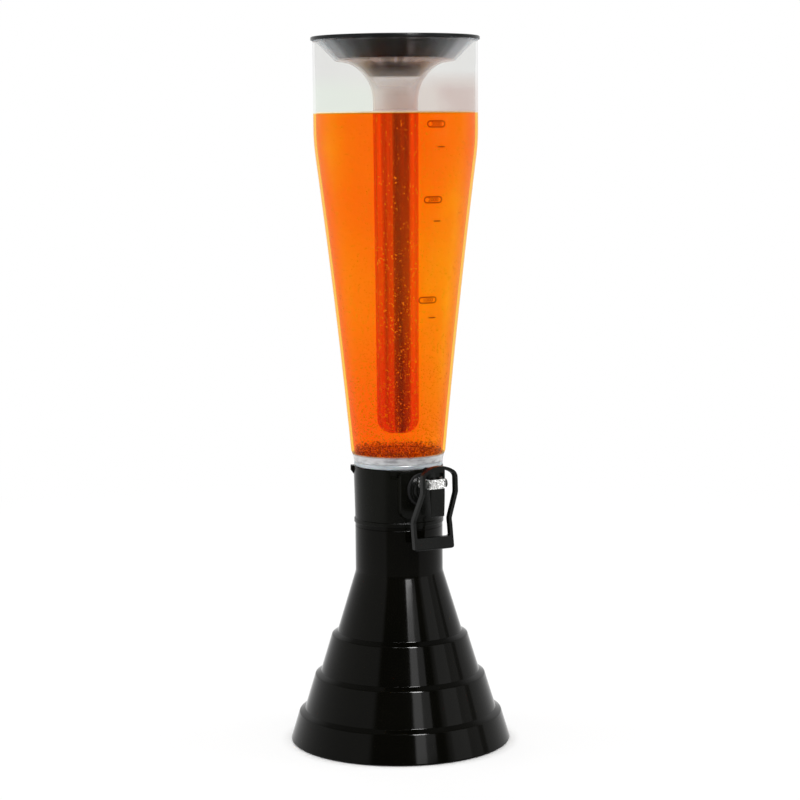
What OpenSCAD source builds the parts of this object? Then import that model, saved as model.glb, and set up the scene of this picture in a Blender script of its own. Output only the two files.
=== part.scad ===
// Table-top beer tower: a clear flared tank with an ice tube down its middle stands on a
// stepped black base, and a push-lever tap draws from the collar between the two.
// The tower's axis is Z, the base stands on Z = 0, and the tap faces -Y.

/* [Base] */
// Radius of the base at its foot
base_r = 100; // [98:0.5:102]
// Radius lost per millimetre of height on each tier of the base
tier_slope = 0.306; // [0.3:0.002:0.31]
// Width of the ledge on top of each tier
ledge_w = 5.2; // [4.6:0.1:5.6]
// Height that each ledge climbs
ledge_rise = 2.9; // [2.4:0.1:3.4]
// Height of the first tier's shoulder
tier1_z = 26.6; // [25:0.2:28]
// Height of the second tier's shoulder
tier2_z = 61; // [59:0.2:63]
// Height of the third tier's shoulder
tier3_z = 97.5; // [96:0.2:99]
// Wall thickness of the base
base_t = 2.6; // [2.2:0.1:3]
// Radius of the neck between the base and the collar
neck_r = 39.5; // [39:0.1:40]
// Height of the seam between the neck and the collar
seam_z = 200.6; // [199:0.2:202]

/* [Collar] */
// Outer radius of the collar at its top
collar_r = 40.3; // [40.2:0.1:40.8]
// Height of the collar's top edge
collar_top_z = 252; // [251.6:0.1:252.4]
// Distance of the tap's flat pad from the tower's axis
pad_y = 40.6; // [40.4:0.1:41]
// Half width of the tap's flat pad
pad_half_w = 21; // [19:0.5:22]

/* [Tank] */
// Outer radius of the tank where its taper starts
tank_foot_r = 42.5; // [42:0.1:43]
// Height of the tank's rim
tank_rim_z = 629; // [610:1:650]
// Wall thickness of the tank
tank_t = 2.4; // [2:0.1:3]
// Radius of the drain in the tank's floor
drain_r = 14; // [10:0.5:18]

/* [Ice tube] */
// Outer radius of the ice tube at its closed end
ice_foot_r = 18.4; // [17:0.1:19]
// Outer radius of the ice tube below its funnel
ice_top_r = 20; // [19.2:0.1:20.6]
// Height of the ice tube's closed end
ice_foot_z = 281; // [275:1:300]
// Wall thickness of the ice tube and its funnel
ice_t = 1.6; // [1.4:0.1:1.8]

/* [Tap] */
// Height of the tap's shank
shank_z = 234.4; // [234:0.1:235]
// Distance of the valve stem from the tower's axis
stem_y = 57.6; // [57.4:0.1:57.8]
// Distance of the lever's pivot from the tower's axis
pivot_y = 63.9; // [63.8:0.1:64]
// Height of the lever's pivot
pivot_z = 242.4; // [242.3:0.1:242.5]
// Half width of the lever's loop
loop_half_w = 18; // [16.5:0.5:19]
// Radius of the spout's outlet
outlet_r = 3.8; // [3.4:0.1:3.9]
// Number of turns in the valve's return spring
spring_turns = 5; // [4:1:5]

/* [Hidden] */

$fn = 96;
over = 1;              // how far a cutter runs past the face that it cuts
far = 20;              // half length of a cutter that goes right through the tap

black = "#141415";
satin = "#2b2c2b";
rubber = "#1d1d1e";
silver = "#c9cacb";
steel = "#b4b6b8";
clear = [0.86, 0.9, 0.92, 0.45];
silicone = [0.8, 0.82, 0.83, 0.8];

// Base
foot_gap = 0.8;                        // the rim's height above the table
lip_r = 1.2;                           // rounding of the base's foot
shoulder_r = 2;
crease_r = 0.8;
neck_foot_z = (base_r + 3 * tier_slope * ledge_rise - 3 * ledge_w - neck_r) / tier_slope;
neck_blend_r = 12;
groove_z = seam_z - 3.3;
groove_r = 0.45;
spigot_r = 35.8;
spigot_root_h = 6;                     // height of the ring that ties the spigot to the neck
plate_hole_r = 8;
spigot_top_z = 215;
plate_t = 3;
foot_count = 6;
foot_ring_r = 87.5;
foot_boss_r = 6.5;
foot_boss_h = 16;
foot_pad_r = 5.4;
foot_pad_h = 2.3;
screw_count = 4;
screw_ring_r = 24;
screw_r = 1.85;
screw_head_r = 3.6;
screw_head_h = 2.2;
screw_top_z = 220.2;
screw_boss_r = 4.4;
fit = 0.05;                            // radial play of a pin or screw in its hole
loose = 0.3;                           // radial play of what only passes through a hole

// Collar
collar_foot_r = 39.4;
collar_flare_h = 9;                    // the collar widens a little towards its edge from here
collar_flare_r = 8;
collar_bore_r = 36.6;
collar_floor_z = 222;
collar_floor_t = 4;
skirt_bore_r = 36;
bead_h = 3.4;
bead_out = 0.9;
flat_y = 33.5;                         // the inner flat that the shank's seal bears on
flat_top_z = 246.4;
pad_foot_z = 209;
pad_top_z = 250;
pad_corner_r = 8;
pad_root_y = 25;
flat_half_w = 25;
pad_wall_t = 1.5;                      // wall that the hollow of the skirt leaves behind the pad
lug_out = 2.9;
lug_w = 6;
lug_h = 8.6;
lug_edge_t = 4;
lug_drop = 0.2;                        // how far the lug's top lies under the collar's edge
lug_turns = [-120, -36, 36, 120];

// Tank
seal_top_z = 256.4;
seal_out_r = 40;
seal_in_r = 36.9;
tank_neck_r = 36.1;
tank_neck_bore_r = 31.5;
tank_neck_foot_z = 247;
tank_flange_r = 40.2;
tank_floor_z = 262;
floor_fall = 1;                        // fall of the floor towards the drain
taper_foot_z = 265;
taper_lap = 1;                         // height by which the foot and the tapered wall overlap
taper_top_z = 528;
taper_slope = 0.0925;
taper_curve = 0.0000665;
waist_r = 200;                         // arc that turns the taper into the straight rim
taper_steps = 20;
rim_step_z = 608.5;
rim_step = 0.35;

// Ice tube and lid
funnel_z = 577;                        // where the tube starts to flare
flare_r = 36;
flare_angle = 66;
funnel_ledge = [53.5, 612];
funnel_mouth_r = 70.2;
funnel_flange_r = 73.2;
ice_dome_r = 12;
lid_r = 74.8;
lid_rim_h = 2.6;
lid_lip = 0.6;
lid_gap = 0.7;
lid_t = 2;
lid_foot_z = 598;
lid_wall_r = flare_r + ice_t + lid_gap;          // radius of the flare on the lid's outside
lid_floor_r = ice_top_r + flare_r - sqrt(lid_wall_r ^ 2 - (lid_foot_z - funnel_z) ^ 2) - 0.5;
lid_hub_r = funnel_mouth_r - 4;        // inner radius of the lid's flat rim

// Tap
shank_r = 7.8;
shank_end_y = 20.5;
washer_r = 15;
washer_t = 1.5;
inner_seal_r = 11;
inner_seal_t = 1.8;
nut_r = 11.5;
nut_t = 5.5;
rosette_r = [13, 11.6, 10.2];          // steps of the rosette, from the collar outwards
rosette_z = [1.2, 2.2, 4.6, 5];        // where each step and the neck's foot end
shank_neck_r = [9.2, 7.2, 6.8];
shank_chamfer = 0.8;
barrel_front_y = 68.5;
barrel_back_y = 48.5;
barrel_foot_z = 213.5;
barrel_half_w = 8;
barrel_foot_half_w = 6.6;
barrel_corner_r = 1.6;
barrel_bend_r = 6;                     // where the barrel's back turns in below the shank
barrel_back_in = 2.6;
head_foot_z = 238.4;
head_top_z = 247;
band_t = 0.6;
chamber_r = 5;
chamber_top_z = 238;
shank_bore_r = chamber_top_z - shank_z - 0.5;    // breaks into the chamber just under its top
nozzle_out = 0.8;                      // how far the nozzle stands out of the barrel's foot
press = 0.02;                          // radial play of what is pressed or glued in
stem_r = 1.6;
stem_seal_h = 3;
stem_seal_r = 2.4;
stem_top_z = 253.5;
seat_z = 224;
plug_r = 4.4;
collar_disc_r = 3.9;
disc_foot_z = 227.6;
disc_h = 1.2;
slot_half_w = 4.2;
slot_back_y = 60.6;
slot_front_y = 67.2;
slot_drop = 0.5;                       // gap under the lever's tongue
pin_r = 1.5;
pin_head_r = 4;
pin_head_t = 1.8;
tongue_half_w = 3.9;
tongue_r = 3;
tongue_front = 1.3;                    // reach of the tongue's web in front of the pivot
tongue_web = 3.8;
lift_pin_r = 1;
lift_pin_w = 10;
lift_pin_z = 251;
lift_travel = 2.9;                     // how far the lift pin slides along the lever's slots
lift_play = 0.3;
arm_w = 3;
arm_depth = 4.8;
arch_top_z = 259;
arch_r = 26;
bar_foot_z = 183.2;
bar_h = 11;
splay = 2;                             // how much wider each side of the loop is at its foot
splay_z = [205, 237];                  // heights between which it grows wider
loop_head = [72.3, 262];               // outer side of the loop, from its head down to its foot
loop_high_kink = [73.3, 235.6];
loop_low_kink = [59.4, 209.5];
loop_foot = [63.3, 183];
bar_edge_r = 2;
block_half_w = 5.25;
block_back_y = 51.5;
block_foot_z = 247.6;
block_top_z = 256.4;
block_front_y = 72.1;
block_edge = 0.8;                      // chamfer of the block's lower back edge
block_slope_y = 56;                    // where the top starts to slope down to the back
block_slope_h = 2;
relief_y = 69.9;                       // relief over the barrel's front edge
relief_top_z = 249.6;
recess_half_w = 3.7;
recess_y = 69.2;
recess_h = 6.6;
fork_half_w = 2.2;
fork_back = 3.2;                       // the fork's root, behind the pivot
fork_h = 7.8;
wire_r = 0.4;
coil_r = 3.1;
coil_rings = 8;
wire_sides = 6;

// ---- Outlines -------------------------------------------------------------------------

function unit(v) = v / norm(v);

// Points on an arc about c, from angle a0 to angle a1
function arc_points(c, r, a0, a1, n) =
    [for (i = [0:n]) let (a = a0 + (a1 - a0) * i / n) c + r * [cos(a), sin(a)]];

// The corner at p, between its neighbours a and b, rounded to the radius r
function corner(a, p, b, r, n) =
    let (u = unit(a - p), v = unit(b - p), half = acos(u * v) / 2)
    let (c = p + unit(u + v) * r / sin(half), s = p + u * r / tan(half) - c, e = p + v * r / tan(half) - c)
    let (from = atan2(s.y, s.x), turn = atan2(s.x * e.y - s.y * e.x, s * e))
    arc_points(c, r, from, from + turn, n);

// A closed outline of [x, y, corner radius] points, with its corners rounded
function softened(p, n = 5) =
    [for (i = [0:len(p) - 1])
        let (a = p[(i + len(p) - 1) % len(p)], q = p[i], b = p[(i + 1) % len(p)])
        each q[2] > 0 ? corner([a.x, a.y], [q.x, q.y], [b.x, b.y], q[2], n) : [[q.x, q.y]]];

function left_of(a, b) = unit([a.y - b.y, b.x - a.x]);

// An open path moved sideways by d, to the left of its run
function beside(p, d) =
    [for (i = [0:len(p) - 1])
        let (before = left_of(p[max(i - 1, 0)], p[max(i, 1)]))
        let (after = i < len(p) - 1 ? left_of(p[i], p[i + 1]) : before)
        p[i] + d * (before + after) / (1 + before * after)];

function reversed(p) = [for (i = [len(p) - 1:-1:0]) p[i]];

// The section of a wall that lies between a path and the path moved aside by t
module wall(path, t) polygon(concat(path, reversed(beside(path, t))));

// Turns a section drawn as [distance from the tap's shank, distance from the tower] about the shank
module about_shank() translate([0, 0, shank_z]) rotate([90, 0, 0]) rotate_extrude() children();

// Extrudes an outline drawn as [x, z] from y = -far to y = -near
module through_y(near, far) translate([0, -near, 0]) rotate([90, 0, 0]) linear_extrude(far - near) children();

// Extrudes an outline drawn as [distance from the tower, z] between x = -half and x = half
module through_x(half)
    rotate([0, 0, -90]) translate([0, half, 0]) rotate([90, 0, 0]) linear_extrude(2 * half) children();

// A round bore right across the tap, at a distance y from the tower's axis
module bore_across(y, z, r) translate([-far, -y, z]) rotate([0, 90, 0]) cylinder(r = r, h = 2 * far);

module around(count, r) for (i = [0:count - 1])
    rotate([0, 0, (i + 0.5) * 360 / count]) translate([r, 0, 0]) children();

// ---- Base -----------------------------------------------------------------------------

// Radius of the base's surface at height z, on the tier that has n ledges below it
function tier_r(z, n) = base_r - tier_slope * (z - n * ledge_rise) - n * ledge_w;

function base_profile() = [
    [tier_r(foot_gap, 0), foot_gap, lip_r],
    [tier_r(tier1_z, 0), tier1_z, shoulder_r],
    [tier_r(tier1_z + ledge_rise, 1), tier1_z + ledge_rise, crease_r],
    [tier_r(tier2_z, 1), tier2_z, shoulder_r],
    [tier_r(tier2_z + ledge_rise, 2), tier2_z + ledge_rise, crease_r],
    [tier_r(tier3_z, 2), tier3_z, shoulder_r],
    [tier_r(tier3_z + ledge_rise, 3), tier3_z + ledge_rise, crease_r],
    [neck_r, neck_foot_z, neck_blend_r],
    [neck_r, seam_z, 0]];

function flat_points(p) = [for (q = p) [q.x, q.y]];

module base_section() {
    outside = base_profile();
    inside = reversed(beside(flat_points(outside), base_t));
    polygon(softened(concat(outside, [for (q = inside) [q.x, q.y, 0]])));
    // Spigot that the collar slides over, and the plate that closes it
    root_z = seam_z - spigot_root_h;
    translate([spigot_r - base_t, root_z]) square([base_t, spigot_top_z - root_z]);
    translate([spigot_r - base_t, root_z]) square([neck_r - spigot_r + 0.5, spigot_root_h]);
    translate([plate_hole_r, spigot_top_z - plate_t]) square([spigot_r - plate_hole_r - 1, plate_t]);
}

module base_shell() color(black) difference() {
    union() {
        rotate_extrude($fn = 144) base_section();
        around(foot_count, foot_ring_r) translate([0, 0, foot_gap]) cylinder(r = foot_boss_r, h = foot_boss_h);
    }
    around(foot_count, foot_ring_r) cylinder(r = foot_pad_r + fit, h = foot_pad_h);
    around(screw_count, screw_ring_r)
        translate([0, 0, spigot_top_z - plate_t - over]) cylinder(r = screw_r + loose, h = plate_t + 2 * over);
    // Fine groove round the neck below the seam
    rotate_extrude($fn = 144) translate([neck_r, groove_z]) circle(r = groove_r, $fn = 16);
}

module foot_pads() color(rubber)
    around(foot_count, foot_ring_r) cylinder(r = foot_pad_r, h = foot_pad_h);

module collar_screws() color(steel) around(screw_count, screw_ring_r) {
    translate([0, 0, spigot_top_z - plate_t - screw_head_h]) cylinder(r = screw_head_r, h = screw_head_h);
    translate([0, 0, spigot_top_z - plate_t]) cylinder(r = screw_r, h = screw_top_z - spigot_top_z + plate_t);
}

// ---- Collar ---------------------------------------------------------------------------

module collar_section() polygon(softened([
    [collar_foot_r + bead_out, seam_z, 0.4],
    [collar_foot_r + bead_out, seam_z + bead_h, 0.6],
    [collar_foot_r, seam_z + bead_h + 0.6, 0.3],
    [collar_r, collar_top_z - collar_flare_h, collar_flare_r],
    [collar_r, collar_top_z, 0.6],
    [collar_bore_r, collar_top_z, 0.4],
    [collar_bore_r, collar_floor_z, 2],
    [0, collar_floor_z, 0],
    [0, collar_floor_z - collar_floor_t, 0],
    [skirt_bore_r, collar_floor_z - collar_floor_t, 0],
    [skirt_bore_r, seam_z, 0]]));

// Small gusset under the collar's top edge
module collar_lug() translate([0, 0, collar_top_z]) rotate([90, 0, -90]) translate([0, 0, -lug_w / 2])
    linear_extrude(lug_w) polygon([[collar_r - 1, -lug_drop], [collar_r + lug_out, -lug_drop],
        [collar_r + lug_out, -lug_drop - lug_edge_t], [collar_r - 0.5, -lug_h], [collar_r - 1, -lug_h]]);

module pad_outline() polygon(softened([
    [-pad_half_w, pad_foot_z, pad_corner_r], [pad_half_w, pad_foot_z, pad_corner_r],
    [pad_half_w, pad_top_z, 2], [-pad_half_w, pad_top_z, 2]]));

module tap_collar() color(black) difference() {
    union() {
        rotate_extrude($fn = 144) collar_section();
        // Flat pad that the tap seats on, and the thickened wall behind it
        difference() {
            through_y(pad_root_y, pad_y) pad_outline();
            translate([0, 0, seam_z])
                cylinder(r = skirt_bore_r + pad_wall_t, h = collar_top_z - seam_z, $fn = 144);
        }
        intersection() {
            translate([0, 0, collar_floor_z - 1])
                cylinder(r = collar_r - 1, h = flat_top_z - collar_floor_z + 1);
            translate([-flat_half_w, -collar_r, collar_floor_z - 1])
                cube([2 * flat_half_w, collar_r - flat_y, flat_top_z - collar_floor_z + 1]);
        }
        for (a = lug_turns) rotate([0, 0, a]) collar_lug();
        around(screw_count, screw_ring_r)
            translate([0, 0, spigot_top_z])
                cylinder(r = screw_boss_r, h = collar_floor_z - spigot_top_z - 1);
    }
    translate([0, -flat_y + over, shank_z]) rotate([90, 0, 0])
        cylinder(r = shank_r + loose, h = pad_y - flat_y + 2 * over);
    around(screw_count, screw_ring_r)
        translate([0, 0, spigot_top_z - over])
            cylinder(r = screw_r + fit, h = screw_top_z + loose - spigot_top_z + over);
}

// ---- Tank -----------------------------------------------------------------------------

function taper_r(z) = let (h = z - taper_foot_z) tank_foot_r + taper_slope * h + taper_curve * h * h;

taper_top_r = taper_r(taper_top_z);
taper_end_angle = atan(taper_slope + 2 * taper_curve * (taper_top_z - taper_foot_z));
tank_r = taper_top_r + waist_r * (1 - cos(taper_end_angle));

function tank_path() = concat(
    [for (i = [0:taper_steps - 1])
        let (z = taper_foot_z + (taper_top_z - taper_foot_z) * i / taper_steps) [taper_r(z), z]],
    arc_points([tank_r - waist_r, taper_top_z + waist_r * sin(taper_end_angle)],
        waist_r, -taper_end_angle, 0, 5),
    [[tank_r, tank_rim_z]]);

module tank_foot_section() polygon(softened([
    [tank_neck_bore_r, tank_neck_foot_z, 0.6],
    [tank_neck_r, tank_neck_foot_z, 0.8],
    [tank_neck_r, seal_top_z, 0],
    [tank_flange_r, seal_top_z, 0.4],
    [tank_flange_r + 0.1, seal_top_z + 2, 3],
    [taper_r(taper_foot_z + taper_lap), taper_foot_z + taper_lap, 0],
    [taper_r(taper_foot_z + taper_lap) - tank_t, taper_foot_z + taper_lap, 0],
    [tank_foot_r - tank_t - 0.6, tank_floor_z, 1],
    [drain_r, tank_floor_z - floor_fall, 0.8],
    [drain_r, seal_top_z, 0.8],
    [tank_neck_bore_r, seal_top_z, 0.8]]));

module tank() color(clear) difference() {
    rotate_extrude($fn = 144) {
        tank_foot_section();
        wall(tank_path(), tank_t);
    }
    // The bore widens a little just below the rim
    translate([0, 0, rim_step_z]) cylinder(r = tank_r - tank_t + rim_step, h = tank_rim_z, $fn = 144);
}

module tank_seal_ring() color(silicone) rotate_extrude($fn = 144) polygon(softened([
    [seal_in_r, collar_top_z, 0.3], [seal_out_r, collar_top_z, 1.2],
    [seal_out_r, seal_top_z, 1.2], [seal_in_r, seal_top_z, 0.3]]));

// ---- Ice tube and lid -----------------------------------------------------------------

// Outside of the flare, from the tube up to the mouth
function funnel_path() = concat(
    [for (i = [0:11]) let (a = flare_angle * i / 11)
        [ice_top_r + flare_r * (1 - cos(a)), funnel_z + flare_r * sin(a)]],
    [funnel_ledge, [funnel_mouth_r, tank_rim_z]]);

function ice_path() = concat(
    [[0, ice_foot_z]],
    arc_points([ice_foot_r - ice_dome_r, ice_foot_z + ice_dome_r], ice_dome_r, -90, 0, 6),
    funnel_path(),
    [[funnel_flange_r, tank_rim_z]]);

module ice_tube() color(clear) rotate_extrude($fn = 144) intersection() {
    wall(ice_path(), ice_t);
    square([2 * base_r, 2 * tank_rim_z]);
}

// Nests in the funnel like a deep dish, and its rim caps the tank
module lid() color(black) rotate_extrude($fn = 144) {
    intersection() {
        wall(beside(funnel_path(), ice_t + lid_gap), lid_t);
        translate([0, lid_foot_z]) square([funnel_mouth_r - 1, tank_rim_z + ice_t + lid_rim_h - lid_foot_z]);
    }
    translate([0, lid_foot_z]) square([lid_floor_r, lid_t]);
    rim_z = tank_rim_z + ice_t;
    lip_in_r = funnel_flange_r + 0.4;
    polygon(softened([[lid_hub_r, rim_z, 0], [lip_in_r, rim_z, 0],
        [lip_in_r, rim_z - lid_lip, 0], [lid_r, rim_z - lid_lip, 0.4],
        [lid_r, rim_z + lid_rim_h, 1.2], [lid_hub_r, rim_z + lid_rim_h, 1.2]]));
}

// ---- Tap: what is fixed to the collar ---------------------------------------------------

module tap_outer_washer() color(rubber) about_shank() polygon(softened([
    [shank_r + fit, pad_y, 0], [washer_r, pad_y, 0.3],
    [washer_r, pad_y + washer_t, 0.6], [shank_r + fit, pad_y + washer_t, 0]]));

module tap_inner_seal() color(silicone) about_shank()
    translate([shank_r + fit, flat_y - inner_seal_t]) square([inner_seal_r - shank_r - fit, inner_seal_t]);

module shank_nut() color(satin) translate([0, -flat_y + inner_seal_t + nut_t, shank_z]) rotate([90, 30, 0])
    difference() {
        cylinder(r = nut_r, h = nut_t, $fn = 6);
        translate([0, 0, -over]) cylinder(r = shank_r + fit, h = nut_t + 2 * over);
    }

// Rosette of the tap, its neck and its shank, as one section about the shank's axis
module shank_section() {
    rosette_y = pad_y + washer_t;
    polygon(softened([
        [0, shank_end_y, 0],
        [shank_r - shank_chamfer, shank_end_y, 0],
        [shank_r, shank_end_y + shank_chamfer, 0],
        [shank_r, rosette_y, 0],
        [rosette_r[0], rosette_y, 0.4],
        [rosette_r[0], rosette_y + rosette_z[0], 0.6],
        [rosette_r[1], rosette_y + rosette_z[0], 0.3],
        [rosette_r[1], rosette_y + rosette_z[1], 0.6],
        [rosette_r[2], rosette_y + rosette_z[1], 0.3],
        [shank_neck_r[0], rosette_y + rosette_z[2], 1],
        [shank_neck_r[1], rosette_y + rosette_z[3], 1],
        [shank_neck_r[2], barrel_back_y + 2, 0],
        [0, barrel_back_y + 2, 0]]));
}

// Front outline of the barrel: a straight head over a tapered spout
module barrel_front() polygon([
    [-barrel_foot_half_w, barrel_foot_z], [barrel_foot_half_w, barrel_foot_z],
    [barrel_half_w, head_foot_z - 1], [barrel_half_w, head_top_z],
    [-barrel_half_w, head_top_z], [-barrel_half_w, head_foot_z - 1]]);

// Side outline of the barrel, with its back drawn in towards the foot
module barrel_side() polygon(softened([
    [barrel_front_y, barrel_foot_z, 0.8], [barrel_front_y, head_top_z, 0.4],
    [barrel_back_y, head_top_z, 0.4], [barrel_back_y, shank_z - barrel_bend_r, barrel_bend_r],
    [barrel_back_y + barrel_back_in, barrel_foot_z, 0.8]]));

module barrel_plan(grow = 0) polygon(softened([
    [-barrel_half_w - grow, -barrel_front_y - grow, barrel_corner_r],
    [barrel_half_w + grow, -barrel_front_y - grow, barrel_corner_r],
    [barrel_half_w + grow, -barrel_back_y + grow, barrel_corner_r + 1],
    [-barrel_half_w - grow, -barrel_back_y + grow, barrel_corner_r + 1]]));

module tap_body() color(satin) difference() {
    union() {
        intersection() {
            through_y(barrel_back_y - over, barrel_front_y + over) barrel_front();
            through_x(barrel_half_w + over) barrel_side();
            translate([0, 0, barrel_foot_z]) linear_extrude(head_top_z - barrel_foot_z) barrel_plan();
        }
        about_shank() shank_section();
    }
    // Way of the beer: shank, valve chamber, outlet
    translate([0, -shank_end_y + over, shank_z]) rotate([90, 0, 0])
        cylinder(r = shank_bore_r, h = stem_y - shank_end_y);
    translate([0, -stem_y, barrel_foot_z - over])
        cylinder(r = chamber_r, h = chamber_top_z - barrel_foot_z + over);
    // Gland and bore of the valve stem
    translate([0, -stem_y, chamber_top_z - over]) cylinder(r = stem_seal_r + fit, h = stem_seal_h + over);
    translate([0, -stem_y, chamber_top_z]) cylinder(r = stem_r + fit, h = far);
    // Slot for the lever's tongue, and the bore of its pin
    translate([-slot_half_w, -slot_front_y, pivot_z - tongue_r - slot_drop])
        cube([2 * slot_half_w, slot_front_y - slot_back_y, far]);
    bore_across(pivot_y, pivot_z, pin_r + fit);
}

// Sleeve in the foot of the barrel, with the valve's seat on top
module spout_nozzle() color(satin) translate([0, -stem_y, 0]) difference() {
    translate([0, 0, barrel_foot_z - nozzle_out])
        cylinder(r = chamber_r - press, h = seat_z - barrel_foot_z + nozzle_out);
    translate([0, 0, barrel_foot_z - nozzle_out - over]) cylinder(r = outlet_r, h = far);
}

// Bright trim round the head of the barrel
module head_band() color(silver) difference() {
    translate([0, 0, head_foot_z]) linear_extrude(head_top_z - head_foot_z - 0.2) barrel_plan(band_t);
    translate([0, 0, head_foot_z - over]) linear_extrude(far) barrel_plan(press);
    bore_across(pivot_y, pivot_z, pin_r + loose);
    // Notch in its back for the neck of the shank
    translate([0, -pad_y, shank_z]) rotate([90, 0, 0])
        cylinder(r = shank_neck_r[1] + loose, h = stem_y - pad_y);
}

module stem_seal() color(silicone) translate([0, -stem_y, chamber_top_z]) difference() {
    cylinder(r = stem_seal_r, h = stem_seal_h);
    translate([0, 0, -over]) cylinder(r = stem_r + fit, h = stem_seal_h + 2 * over);
}

// ---- Return spring ----------------------------------------------------------------------

spring_foot_z = disc_foot_z + disc_h;
spring_pitch = (chamber_top_z - spring_foot_z - 2 * wire_r) / spring_turns;

// Centre line of the spring: a helix whose two ends run straight for one wire's thickness
function coil_point(a) = [coil_r * cos(a), coil_r * sin(a), wire_r + spring_pitch * a / 360];
function coil_way(a) = unit([-sin(a), cos(a), spring_pitch / (2 * PI * coil_r)]);
coil_steps = spring_turns * coil_rings;
coil_line = concat(
    [coil_point(0) - 2 * wire_r * [0, 1, 0]],
    [for (i = [0:coil_steps]) coil_point(i * 360 / coil_rings)],
    [coil_point(360 * spring_turns) + 2 * wire_r * [0, 1, 0]]);
coil_ways = concat(
    [coil_way(0)], [for (i = [0:coil_steps]) coil_way(i * 360 / coil_rings)], [coil_way(360 * spring_turns)]);

// Least gap between the wire and its own next turn, measured between points of the centre line
coil_gap = min([for (i = [0:len(coil_line) - 1], j = [i + coil_rings - 2:1:len(coil_line) - 1])
    norm(coil_line[i] - coil_line[j])]) - 2 * wire_r;
echo(least_gap_of_spring_to_itself = coil_gap);

function wire_ring(i) =
    let (p = coil_line[i], w = coil_ways[i], out = unit([p.x, p.y, 0]), up = cross(w, out))
    [for (k = [0:wire_sides - 1]) let (a = 360 * k / wire_sides) p + wire_r * (cos(a) * out + sin(a) * up)];

module return_spring() {
    rings = len(coil_line);
    points = [for (i = [0:rings - 1]) each wire_ring(i)];
    sides = [for (i = [0:rings - 2], k = [0:wire_sides - 1])
        let (a = i * wire_sides + k, b = i * wire_sides + (k + 1) % wire_sides)
        each [[a, a + wire_sides, b], [b, a + wire_sides, b + wire_sides]]];
    first = [for (k = [1:wire_sides - 2]) [0, k, k + 1]];
    last = [for (k = [1:wire_sides - 2]) (rings - 1) * wire_sides * [1, 1, 1] + [0, k + 1, k]];
    color(steel) translate([0, -stem_y, spring_foot_z]) polyhedron(points, concat(sides, first, last));
}

// ---- Tap: what moves --------------------------------------------------------------------

// Front outline of the lever's loop, drawn in by inset: two arms under a flat arch
module loop_outline(inset, foot_z, foot_r) {
    half = loop_half_w - inset;
    foot_half = half + splay;
    top_r = arch_r - inset;
    side_r = 8 - inset;
    arch_z = arch_top_z - arch_r;
    side_x = half - side_r;
    side = [side_x, arch_z + sqrt((top_r - side_r) * (top_r - side_r) - side_x * side_x)];
    meet = atan2(side.y - arch_z, side.x);
    shoulder = arc_points(side, side_r, 0, meet, 4);
    crown = arc_points([0, arch_z], top_r, meet, 180 - meet, 10);
    polygon(concat(
        arc_points([foot_half - foot_r, foot_z + foot_r], foot_r, -90, 0, 4),
        [[foot_half, splay_z[0]], [half, splay_z[1]]], shoulder, crown,
        [for (q = reversed(shoulder)) [-q.x, q.y]], [[-half, splay_z[1]], [-foot_half, splay_z[0]]],
        arc_points([foot_r - foot_half, foot_z + foot_r], foot_r, 180, 270, 4)));
}

// Side outline of the loop: it leans out, kinks in towards the tower and hangs out again
module loop_side() {
    outer = [loop_head, loop_high_kink, loop_low_kink, loop_foot];
    outer_r = [0, 5, 5, bar_edge_r];
    inner_r = [0, 8, 8, bar_edge_r];
    polygon(softened(concat(
        [for (i = [0:3]) [outer[i].x, outer[i].y, outer_r[i]]],
        [for (i = [3:-1:0]) [outer[i].x - arm_depth, outer[i].y, inner_r[i]]])));
}

// Side outline of the block under the arch, with the relief that clears the barrel's head
module block_side() polygon([
    [block_back_y, block_foot_z + block_edge], [block_back_y + block_edge, block_foot_z],
    [pivot_y, block_foot_z], [relief_y, relief_top_z],
    [relief_y, block_foot_z + 0.2], [block_front_y, block_foot_z + 0.2],
    [block_front_y, block_top_z], [block_slope_y, block_top_z],
    [block_back_y, block_top_z - block_slope_h]]);

module lever() color(black) difference() {
    union() {
        intersection() {
            through_y(pad_y, loop_head.x + far) difference() {
                loop_outline(0, bar_foot_z, 2.5);
                loop_outline(arm_w, bar_foot_z + bar_h, 1.5);
            }
            through_x(loop_half_w + splay + over) loop_side();
        }
        through_x(block_half_w) block_side();
        // Tongue that hangs into the head of the barrel
        translate([-tongue_half_w, -pivot_y, pivot_z]) rotate([0, 90, 0])
            cylinder(r = tongue_r, h = 2 * tongue_half_w);
        translate([-tongue_half_w, -pivot_y - tongue_front, pivot_z])
            cube([2 * tongue_half_w, tongue_web, block_foot_z - pivot_z + over]);
    }
    // Recess in the front of the block
    translate([-recess_half_w, -recess_y - far, block_foot_z - over])
        cube([2 * recess_half_w, far, recess_h]);
    // Fork at the back, open below and behind, that straddles the valve stem
    translate([-fork_half_w, -pivot_y + fork_back, block_foot_z - over])
        cube([2 * fork_half_w, far, fork_h]);
    // Slots of the lift pin and bore of the pivot pin
    for (slide = [0, lift_travel]) bore_across(stem_y - slide, lift_pin_z, lift_pin_r + lift_play);
    translate([-far, -stem_y, lift_pin_z - lift_pin_r - lift_play])
        cube([2 * far, lift_travel, 2 * (lift_pin_r + lift_play)]);
    bore_across(pivot_y, pivot_z, pin_r + press);
}

module pivot_pin() color(steel) translate([0, -pivot_y, pivot_z]) rotate([0, 90, 0]) {
    reach = barrel_half_w + band_t + 0.2;
    translate([0, 0, -reach - 0.5]) cylinder(r = pin_r, h = 2 * reach + 1);
    for (side = [0, 1]) mirror([0, 0, side]) translate([0, 0, reach]) cylinder(r = pin_head_r, h = pin_head_t);
}

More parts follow.
